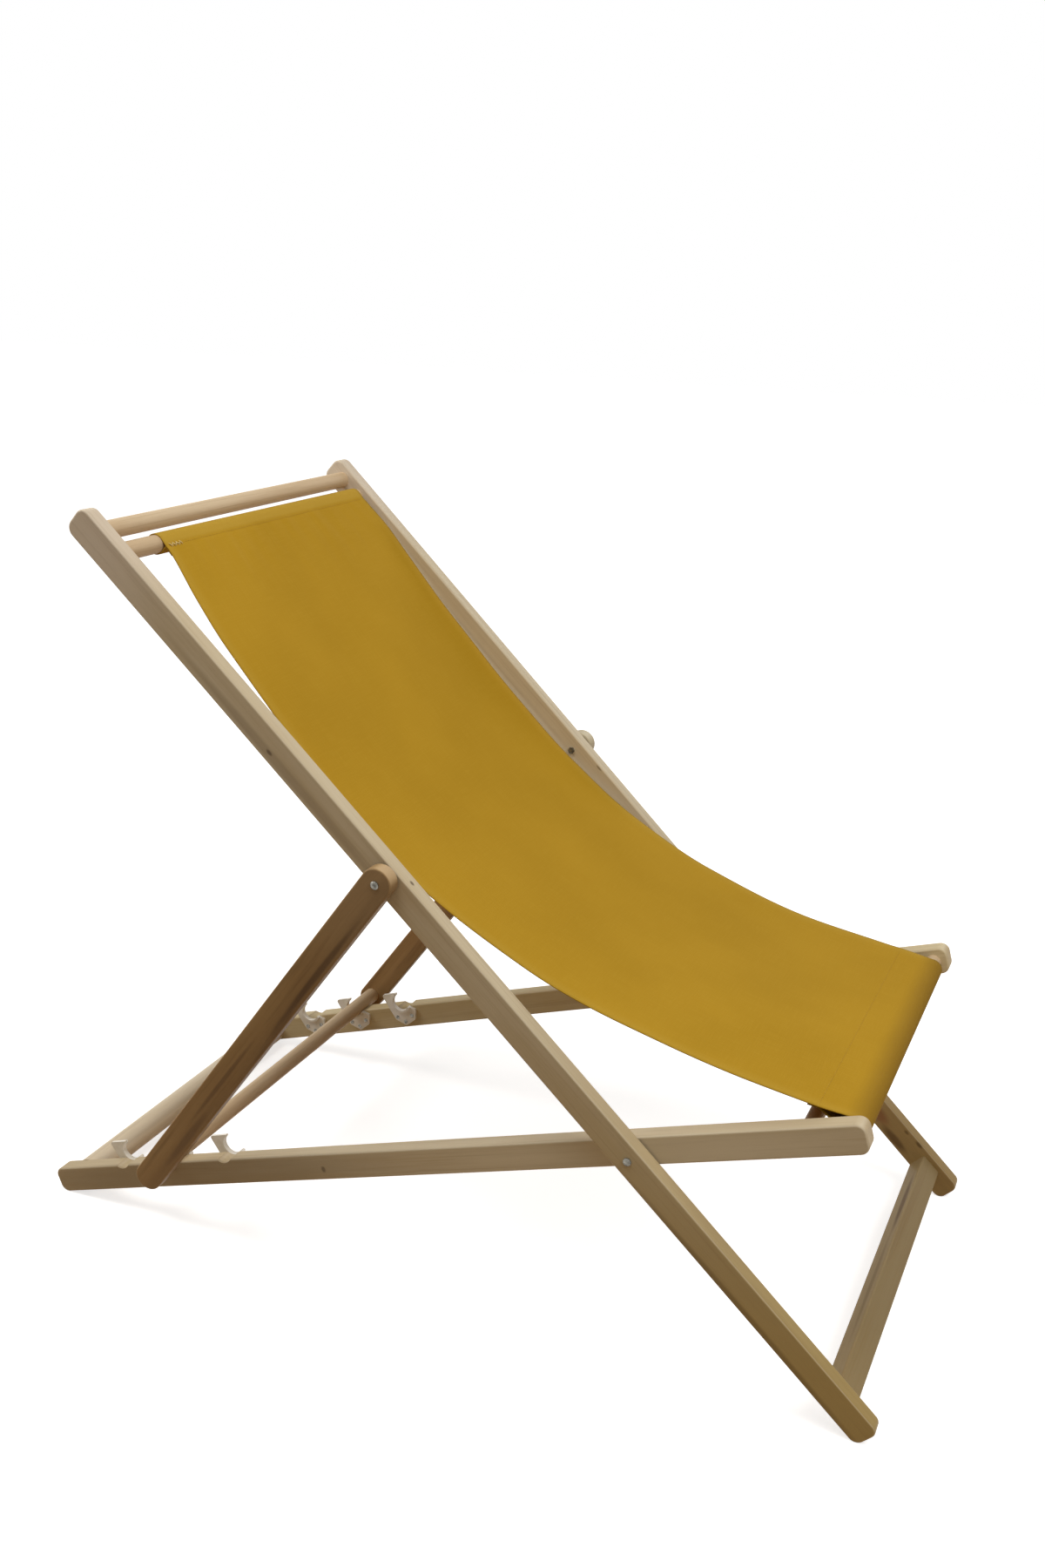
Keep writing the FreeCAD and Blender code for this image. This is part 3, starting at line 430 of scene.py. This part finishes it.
# Middle line of the strip in the XZ plane, from the lap under the head hem to the lap under the front hem
def slingLine():
    a0, a1, a2 = (math.radians(a) for a in sling["slopes"])
    ring = sling["dowelRadius"] + sling["clearance"] + sling["thickness"] / 2
    # The front hem lies loosely on its dowel and hangs forward of it
    loose, rollSpot = ring + sling["rollSlack"], seatSpot + Vector(sling["rollOff"])
    first, last = headSpot + normalOf(a0) * ring, rollSpot + normalOf(a2) * loose
    # The straight part and the first bend's radius that bring the line from one hem to the other
    ratio, lap, steps = sling["bendRatio"], sling["lap"], sling["steps"]
    along, gap = heading(a0), last - first
    bends = normalOf(a0) - normalOf(a1) + (normalOf(a1) - normalOf(a2)) * ratio
    share = along.x * bends.y - along.y * bends.x
    straight = (gap.x * bends.y - gap.y * bends.x) / share
    bend = (along.x * gap.y - along.y * gap.x) / share
    lift = sling["thickness"] * sling["lapLift"]
    points = []

    def run(start, stop, count):
        for k in range(count):
            points.append(start + (stop - start) * (k / count))

    def turnRound(centre, radius, start, stop, count):
        for k in range(count):
            points.append(centre + heading(start + (stop - start) * k / count) * radius)

    # Lap and tunnel under the head hem, then round the dowel
    tunnel = sling["tunnelHead"]
    seam = first + along * tunnel - normalOf(a0) * lift
    lower = a0 - math.pi / 2 + 2 * math.atan2(ring, tunnel)
    run(seam + along * lap, seam, steps["lap"])
    run(seam, headSpot + heading(lower) * ring, steps["tunnel"])
    turnRound(headSpot, ring, lower, a0 + math.pi / 2 - 2 * math.pi, steps["roll"])
    headTop = len(points)
    # Straight part, closer at the seam, and two bends
    puckered = first + along * straight * sling["seamShare"]
    run(first, puckered, steps["seam"])
    run(puckered, first + along * straight, steps["straight"])
    centre = first + along * straight + normalOf(a0) * bend
    turnRound(centre, bend, a0 - math.pi / 2, a1 - math.pi / 2, steps["bend"])
    centre = centre + normalOf(a1) * (bend * ratio - bend)
    turnRound(centre, bend * ratio, a1 - math.pi / 2, a2 - math.pi / 2, steps["bend"])
    frontTop = len(points)
    # Round the seat dowel, then tunnel and lap under the seat
    tunnel = sling["tunnelFront"]
    seam = last - heading(a2) * tunnel - normalOf(a2) * lift
    lower = a2 - math.pi / 2 - 2 * math.atan2(loose, tunnel)
    turnRound(rollSpot, loose, a2 + math.pi / 2, lower, steps["roll"])
    run(rollSpot + heading(lower) * loose, seam, steps["tunnel"])
    run(seam, seam - heading(a2) * lap, steps["lap"])
    points.append(seam - heading(a2) * lap)
    return points, headTop, frontTop


linePoints, headTop, frontTop = slingLine()
lineLength = [0.0]
for k in range(1, len(linePoints)):
    lineLength.append(lineLength[-1] + (linePoints[k] - linePoints[k - 1]).length)
headLength, frontLength = lineLength[headTop], lineLength[frontTop]


# Place on the middle line at a length along it, and the direction off the cloth there
def lineAt(length):
    k = min(max(bisect.bisect_left(lineLength, length), 1), len(lineLength) - 1)
    share = (length - lineLength[k - 1]) / (lineLength[k] - lineLength[k - 1])
    spot = linePoints[k - 1].lerp(linePoints[k], share)
    before, after = linePoints[max(k - 2, 0)], linePoints[min(k + 1, len(linePoints) - 1)]
    way = (after - before).normalized()
    return spot, Vector((-way.y, way.x))


# Value from a table by distance below the head dowel, with a soft step between its entries
def tableAt(table, distance):
    for (one, low), (two, high) in zip(table, table[1:]):
        if one <= distance <= two:
            return low + (high - low) * smooth(distance, one, two)
    return 0.0


# How far the cloth stands off its middle line
def clothOffset(length, across):
    fromHead, fromFront = length - headLength, frontLength - length
    if fromHead < 0 or fromFront < 0:
        return 0.0
    # Sag between the edges, a lower hollow where the back meets the seat, and slow ripples
    free = smooth(fromHead, 0.0, sling["freeHead"]) * smooth(fromFront, 0.0, sling["freeFront"])
    side = across / (sling["hemWidth"] / 2)
    offset = -sling["sag"] * free * (1 - side * side)
    hollow = smooth(fromHead, *sling["lowerIn"]) * (1 - smooth(fromHead, *sling["lowerOut"]))
    offset -= sling["lower"] * hollow
    slanted = across * sling["ripplesAcross"] + length * sling["rippleSlant"]
    wave = noise.noise(Vector((slanted, length * sling["ripplesAlong"], sling["rippleLayer"])))
    offset += sling["ripple"] * free * wave
    # The far side hangs tighter, higher on the back and lower on the seat, and the near one lies a little
    # higher on the seat
    offset += tableAt(sling["farLift"], fromHead) * smooth(side, sling["liftFrom"], 1.0)
    offset += tableAt(sling["nearLift"], fromHead) * smooth(-side, sling["liftFrom"], 1.0)
    # Drawn in by the head seam: a crease on it, and little hollows that fade down the cloth
    near = smooth(fromHead, *sling["puckerIn"]) * (1 - smooth(fromHead, *sling["puckerOut"]))
    fold = 0.0
    for pucker in sling["puckers"]:
        cell = Vector((across * pucker["across"], fromHead * pucker["along"], pucker["layer"]))
        fold += pucker["share"] * noise.noise(cell)
    offset += sling["pucker"] * near * fold
    offset -= sling["crease"] * math.exp(-((fromHead - sling["tunnelHead"]) / sling["creaseWidth"]) ** 2)
    return offset


# Place of the cloth at a length along it and a distance across it, or of what lies above it there
def clothSpot(length, across, above=0.0):
    spot, up = lineAt(length)
    off = clothOffset(length, across) + above
    x, z = spot.x + up.x * off, spot.y + up.y * off
    share = (x - headSpot.x) / (seatSpot.x - headSpot.x)
    shift = sling["shiftHead"] + (sling["shiftFront"] - sling["shiftHead"]) * share
    # Drawn in round the front roll, most at the far corner
    drawn = smooth(length, frontLength - sling["rollFrom"], frontLength + sling["rollTo"])
    fromHead = length - headLength
    wider = tableAt(sling["bulge"], fromHead) - sling["rollIn"] * drawn
    # The near end of the head hem is gathered on its dowel
    if across < 0:
        wider -= sling["gather"] * (1 - smooth(fromHead, sling["gatherFrom"], sling["gatherTo"]))
    y = across * (1 + wider / (sling["hemWidth"] / 2)) + shift + sling["rollShift"] * drawn
    return Vector((x, y, z))


# Plain-woven cotton canvas, dyed mustard: matt, with slubs, paler at the side edges and the head hem, and
# with painted shade on the front roll.
# The UV map is in metres across and along; real threads lie 0.6 mm apart and are drawn at 1.2 mm to show
canvas = {
    "deep": "AA8115", "faded": "B2881B", "slub": "C0992E", "edge": "BF9B3C", "worn": "7E5D17",
    "fuzz": "E2C170", "thread": 0.0012, "weftCell": (0.030, 0.0014, 1.0), "warpCell": (0.0014, 0.045, 1.0),
    "fadeCell": (0.15, 0.22, 1.0), "detail": 2.0, "fadeRange": (0.3, 0.7), "fadeShare": 1.0,
    "slubRange": (0.9, 1.3), "slubShare": 0.18, "weaveRange": (0.0, 1.0), "weaveShare": 0.12,
    "edgeWidth": 0.020, "edgeShare": 0.3, "hemTop": 0.004, "hemShare": 0.5,
    # Painted shade on the front roll: its dark tone above, where it starts before and stops past the roll's
    # top, and its share
    "rollShadeBefore": 0.020, "rollShadePast": 0.010, "rollShadeShare": 0.7,
    "relief": 0.3, "depth": 0.0003, "roughness": 0.92, "specular": 0.15, "sheen": 0.12, "sheenRoughness": 0.5,
}


def canvasMaterial():
    material = newMaterial("woven_canvas")
    flat = addNode(material, "ShaderNodeUVMap", {}, uv_map="cloth")
    parts = addNode(material, "ShaderNodeSeparateXYZ", {0: flat}, None)
    waves = []
    for axis in (0, 1):
        turns = addNode(material, "ShaderNodeMath", {0: parts[axis], 1: math.pi / canvas["thread"]},
                        operation="MULTIPLY")
        waves.append(addNode(material, "ShaderNodeMath", {0: turns}, operation="SINE"))
    weave = addNode(material, "ShaderNodeMath", {0: waves[0], 1: waves[1]}, operation="MULTIPLY")
    weave = addNode(material, "ShaderNodeMath", {0: weave}, operation="ABSOLUTE")
    # Uneven yarn each way, and slow fading over the whole cloth
    mottles = {}
    for key in ("weft", "warp", "fade"):
        laid = addNode(material, "ShaderNodeMapping", {"Vector": flat, "Scale": canvas[key + "Cell"]},
                       vector_type="TEXTURE")
        mottles[key] = addNode(material, "ShaderNodeTexNoise", {
            "Vector": laid, "Scale": 1.0, "Detail": canvas["detail"]})
    yarn = addNode(material, "ShaderNodeMath", {0: mottles["weft"], 1: mottles["warp"]}, operation="ADD")
    fromMiddle = addNode(material, "ShaderNodeMath", {0: parts[0]}, operation="ABSOLUTE")
    half = sling["hemWidth"] / 2
    sideRange = (half - canvas["edgeWidth"], half)
    headRange = (headLength + sling["tunnelHead"], headLength + canvas["hemTop"])
    frontRange = (frontLength - canvas["rollShadeBefore"], frontLength + canvas["rollShadePast"])
    # Each tone is laid over those before it, where its value runs through its range; the last one is painted
    # shade on the front roll, darker where the cloth turns down round it
    layers = {
        "fade": (mottles["fade"], canvas["fadeRange"], canvas["fadeShare"], "faded"),
        "slub": (yarn, canvas["slubRange"], canvas["slubShare"], "slub"),
        "weave": (weave, canvas["weaveRange"], canvas["weaveShare"], "slub"),
        "side": (fromMiddle, sideRange, canvas["edgeShare"], "edge"),
        "head": (parts[1], headRange, canvas["hemShare"], "edge"),
        "front": (parts[1], frontRange, canvas["rollShadeShare"], "worn"),
    }
    colour, masks = linear(canvas["deep"]), {}
    for key, (value, (low, high), share, tone) in layers.items():
        masks[key] = addNode(material, "ShaderNodeMapRange", {
            "Value": value, "From Min": low, "From Max": high, "To Max": share},
            interpolation_type="LINEAR" if key == "weave" else "SMOOTHSTEP")
        colour = addNode(material, "ShaderNodeMix", {
            "Factor": masks[key], "A": colour, "B": linear(canvas[tone])}, "Result", data_type="RGBA")
    height = addNode(material, "ShaderNodeMath", {0: weave, 1: masks["slub"]}, operation="ADD")
    bump = addNode(material, "ShaderNodeBump", {
        "Height": height, "Strength": canvas["relief"], "Distance": canvas["depth"]})
    shader = addNode(material, "ShaderNodeBsdfPrincipled", {
        "Base Color": colour, "Normal": bump, "Roughness": canvas["roughness"],
        "Specular IOR Level": canvas["specular"], "Sheen Weight": canvas["sheen"],
        "Sheen Roughness": canvas["sheenRoughness"], "Sheen Tint": linear(canvas["fuzz"])})
    addNode(material, "ShaderNodeOutputMaterial", {"Surface": shader}, None)
    return material


# Spun polyester thread, mustard in the seams and paler in the tack, with the light and dark of its twist.
# The twist is really about half a millimetre long and is drawn at 1.5 mm to show
spun = {
    "cell": (0.0004, 0.0015, 0.0004), "detail": 2.0, "range": (0.35, 0.65), "roughness": 0.7, "specular": 0.3,
}
seamThread = {"name": "spun_thread", "pale": "B58E2E", "deep": "A27B20"}
tackThread = {"name": "spun_thread_pale", "pale": "E3CC8E", "deep": "CDAF66"}


def threadMaterial(name, pale, deep):
    material = newMaterial(name)
    place = addNode(material, "ShaderNodeTexCoord", {}, "Object")
    laid = addNode(material, "ShaderNodeMapping", {"Vector": place, "Scale": spun["cell"]},
                   vector_type="TEXTURE")
    twist = addNode(material, "ShaderNodeTexNoise", {
        "Vector": laid, "Scale": 1.0, "Detail": spun["detail"]})
    low, high = spun["range"]
    lit = addNode(material, "ShaderNodeMapRange", {
        "Value": twist, "From Min": low, "From Max": high}, **soft)
    colour = addNode(material, "ShaderNodeMix", {"Factor": lit, "A": linear(pale), "B": linear(deep)},
                     "Result", data_type="RGBA")
    shader = addNode(material, "ShaderNodeBsdfPrincipled", {
        "Base Color": colour, "Roughness": spun["roughness"], "Specular IOR Level": spun["specular"]})
    addNode(material, "ShaderNodeOutputMaterial", {"Surface": shader}, None)
    return material


# An object from a built mesh
def addObject(name, build, material):
    mesh = bpy.data.meshes.new(name)
    build.to_mesh(mesh)
    build.free()
    mesh.materials.append(material)
    made = bpy.data.objects.new(name, mesh)
    bpy.context.scene.collection.objects.link(made)
    return made


def makeSling():
    columns = sling["stepsAcross"]
    acrosses = [(j / columns - 0.5) * sling["hemWidth"] for j in range(columns + 1)]
    build = bmesh.new()
    layer = build.loops.layers.uv.new("cloth")
    grid = [[build.verts.new(clothSpot(length, across)) for across in acrosses] for length in lineLength]
    for i in range(len(grid) - 1):
        for j in range(columns):
            corners = [(i, j), (i, j + 1), (i + 1, j + 1), (i + 1, j)]
            face = build.faces.new([grid[a][b] for a, b in corners])
            face.smooth = True
            for loop, (a, b) in zip(face.loops, corners):
                loop[layer].uv = (acrosses[b], lineLength[a])
    piece = addObject("sling_canvas", build, canvasMaterial())
    thick = piece.modifiers.new("cloth_thickness", "SOLIDIFY")
    thick.thickness = sling["thickness"]
    thick.offset = 0.0
    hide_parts("sling")
    return piece


# Stitches in metres: a row along each hem, and a to-and-fro back-tack at the near end of the head hem
stitch = {
    "length": 0.0032, "gap": 0.0012, "inset": 0.006, "rings": 5, "sides": 6,
    "arch": 2.0, "dip": 0.8, "endShare": 0.55, "bowShare": 0.45,
    "seamRow": {"radius": 0.00026, "height": 1.0, "wander": 0.0},
    "tackRow": {"radius": 0.00050, "height": 1.7, "wander": 0.0026}, "tackStep": 0.0022, "tackLength": 0.024,
}


# One stitch: a short bowed thread that dips into the weave at both ends
def addStitch(build, start, stop, bow, thread):
    rings, sides = stitch["rings"], stitch["sides"]
    way = stop - start
    aside = way.cross(bow).normalized()
    loops = []
    for k in range(rings):
        t = k / (rings - 1)
        arch = math.sin(math.pi * t)
        centre = start + way * t + bow * (arch * stitch["arch"] - stitch["dip"]) * thread
        radius = thread * (stitch["endShare"] + stitch["bowShare"] * arch)
        ring = []
        for side in range(sides):
            angle = 2 * math.pi * side / sides
            outward = aside * math.cos(angle) + bow * math.sin(angle)
            ring.append(build.verts.new(centre + outward * radius))
        loops.append(ring)
    for one, two in zip(loops, loops[1:]):
        for side in range(sides):
            after = (side + 1) % sides
            build.faces.new([one[side], one[after], two[after], two[side]]).smooth = True
    build.faces.new(loops[0][::-1])
    build.faces.new(loops[-1])


# A row of stitches over the seam at this length; a wandering one goes to and fro
def makeSeam(name, length, material, start, stop, spacing, row):
    build = bmesh.new()
    high = sling["thickness"] / 2 * row["height"]
    up = lineAt(length)[1]
    bow = Vector((up.x, 0.0, up.y))
    for k in range(int((stop - start) / spacing)):
        across = start + spacing * k
        aside = row["wander"] * (k % 3 - 1)
        addStitch(build, clothSpot(length + aside, across, high),
                  clothSpot(length - aside, across + stitch["length"], high), bow, row["radius"])
    piece = addObject(name, build, material)
    return piece


print("stage: sling")
cloth = makeSling()
seamStuff, tackStuff = threadMaterial(**seamThread), threadMaterial(**tackThread)
seamHead, seamFront = headLength + sling["tunnelHead"], frontLength - sling["tunnelFront"]
seamEnd, seamStep = sling["hemWidth"] / 2 - stitch["inset"], stitch["length"] + stitch["gap"]
seams = [
    makeSeam("seam_head", seamHead, seamStuff, -seamEnd, seamEnd, seamStep, stitch["seamRow"]),
    makeSeam("seam_front", seamFront, seamStuff, -seamEnd, seamEnd, seamStep, stitch["seamRow"]),
    makeSeam("tack_head", seamHead, tackStuff, -seamEnd, -seamEnd + stitch["tackLength"], stitch["tackStep"],
             stitch["tackRow"]),
]
for piece in [cloth] + seams:
    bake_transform(piece)

# Studio: soft boxes overhead, behind, in front and a weak one at the far side, and a white floor and backdrop
print("stage: studio")
studio = {
    "floorSize": 30.0, "floor": "E6E4E0", "bounce": "B08F60", "glow": 0.68, "glowFrom": 0.9, "glowTo": 2.6,
    "sky": "FFFFFF", "ambient": 0.20,
    "lights": [
        {"name": "overhead", "place": (-0.2, -0.7, 2.8), "aim": (-0.1, 0.0, 0.4), "size": 1.3, "power": 22.4},
        {"name": "behind", "place": (-1.9, -0.3, 1.6), "aim": (-0.3, 0.0, 0.3), "size": 1.0, "power": 19.5},
        {"name": "front", "place": (1.6, -0.5, 1.9), "aim": (0.1, 0.0, 0.4), "size": 1.2, "power": 20.2},
        {"name": "farSide", "place": (0.2, 2.6, 1.5), "aim": (0.0, 0.0, 0.4), "size": 1.4, "power": 14.0},
    ],
}
# Camera as solved from the photograph: pixels, degrees, and metres from the crossing
view = {
    "focal": 1713.49, "centre": (639.74, 1095.98), "size": (1200, 1800),
    "azimuth": 22.09, "elevation": 24.87, "roll": 1.978,
    "fromCross": (0.4361, -1.5678, 0.8751), "sensor": 36.0, "nearClip": 0.01,
}


# One for rays that reach the eye straight, off a mirror or through a clear piece, and nought for others
def seenRays(owner):
    path = addNode(owner, "ShaderNodeLightPath", {}, None)
    seen = path["Is Camera Ray"]
    for ray in ("Is Glossy Ray", "Is Transmission Ray"):
        seen = addNode(owner, "ShaderNodeMath", {0: seen, 1: path[ray]}, operation="MAXIMUM")
    return seen


# Painted floor: takes the shadow near the chair and fades to plain white away from it. It is white to the
# camera and in reflections, but gives the chair only the light of a timber one
def floorMaterial():
    material = newMaterial("painted_floor")
    place = addNode(material, "ShaderNodeTexCoord", {}, "Object")
    far = addNode(material, "ShaderNodeVectorMath", {0: place}, 1, operation="LENGTH")
    glow = addNode(material, "ShaderNodeMapRange", {
        "Value": far, "From Min": studio["glowFrom"], "From Max": studio["glowTo"],
        "To Min": studio["glow"], "To Max": 1.0}, **soft)
    paint = addNode(material, "ShaderNodeBsdfDiffuse", {"Color": linear(studio["floor"])})
    white = addNode(material, "ShaderNodeEmission", {"Strength": glow})
    shown = addNode(material, "ShaderNodeAddShader", {0: paint, 1: white})
    dull = addNode(material, "ShaderNodeBsdfDiffuse", {"Color": linear(studio["bounce"])})
    surface = addNode(material, "ShaderNodeMixShader", {0: seenRays(material), 1: dull, 2: shown})
    addNode(material, "ShaderNodeOutputMaterial", {"Surface": surface}, None)
    return material


def makeFloor():
    build = bmesh.new()
    bmesh.ops.create_grid(build, x_segments=2, y_segments=2, size=studio["floorSize"] / 2)
    floor = addObject("floor", build, floorMaterial())


def makeLight(settings):
    data = bpy.data.lights.new(settings["name"], "AREA")
    data.shape = "DISK"
    data.size = settings["size"]
    data.energy = settings["power"]
    light = bpy.data.objects.new(settings["name"], data)
    place = Vector(settings["place"])
    aim = Vector(settings["aim"]) - place
    light.matrix_world = Matrix.Translation(place) @ aim.to_track_quat("-Z", "Y").to_matrix().to_4x4()
    bpy.context.scene.collection.objects.link(light)


def makeWorld():
    world = bpy.data.worlds.new("studio")
    world.use_nodes = True
    world.node_tree.nodes.clear()
    strength = addNode(world, "ShaderNodeMapRange", {
        "Value": seenRays(world), "To Min": studio["ambient"], "To Max": 1.0})
    sky = addNode(world, "ShaderNodeBackground", {"Color": linear(studio["sky"]), "Strength": strength})
    addNode(world, "ShaderNodeOutputWorld", {"Surface": sky}, None)
    bpy.context.scene.world = world


def makeCamera():
    azimuth, elevation, roll = (math.radians(view[key]) for key in ("azimuth", "elevation", "roll"))
    toward = Vector((math.sin(azimuth) * math.cos(elevation), -math.cos(azimuth) * math.cos(elevation),
                     math.sin(elevation)))
    right = (-toward).cross(Vector((0.0, 0.0, 1.0))).normalized()
    up = right.cross(-toward)
    rolledRight = right * math.cos(roll) + up * math.sin(roll)
    rolledUp = up * math.cos(roll) - right * math.sin(roll)
    data = bpy.data.cameras.new("photo_view")
    wide, high = view["size"]
    data.sensor_fit = "VERTICAL"
    data.sensor_height = view["sensor"]
    data.lens = view["focal"] / high * data.sensor_height
    data.shift_x = (wide / 2 - view["centre"][0]) / high
    data.shift_y = (view["centre"][1] - high / 2) / high
    data.clip_start = view["nearClip"]
    camera = bpy.data.objects.new("photo_view", data)
    place = cross + Vector(view["fromCross"])
    turn = Matrix((rolledRight, rolledUp, toward)).transposed().to_4x4()
    camera.matrix_world = Matrix.Translation(place) @ turn
    bpy.context.scene.collection.objects.link(camera)
    bpy.context.scene.camera = camera


makeFloor()
for settings in studio["lights"]:
    makeLight(settings)
makeWorld()
makeCamera()
bpy.context.scene.view_settings.view_transform = "Standard"

print("stage: done")
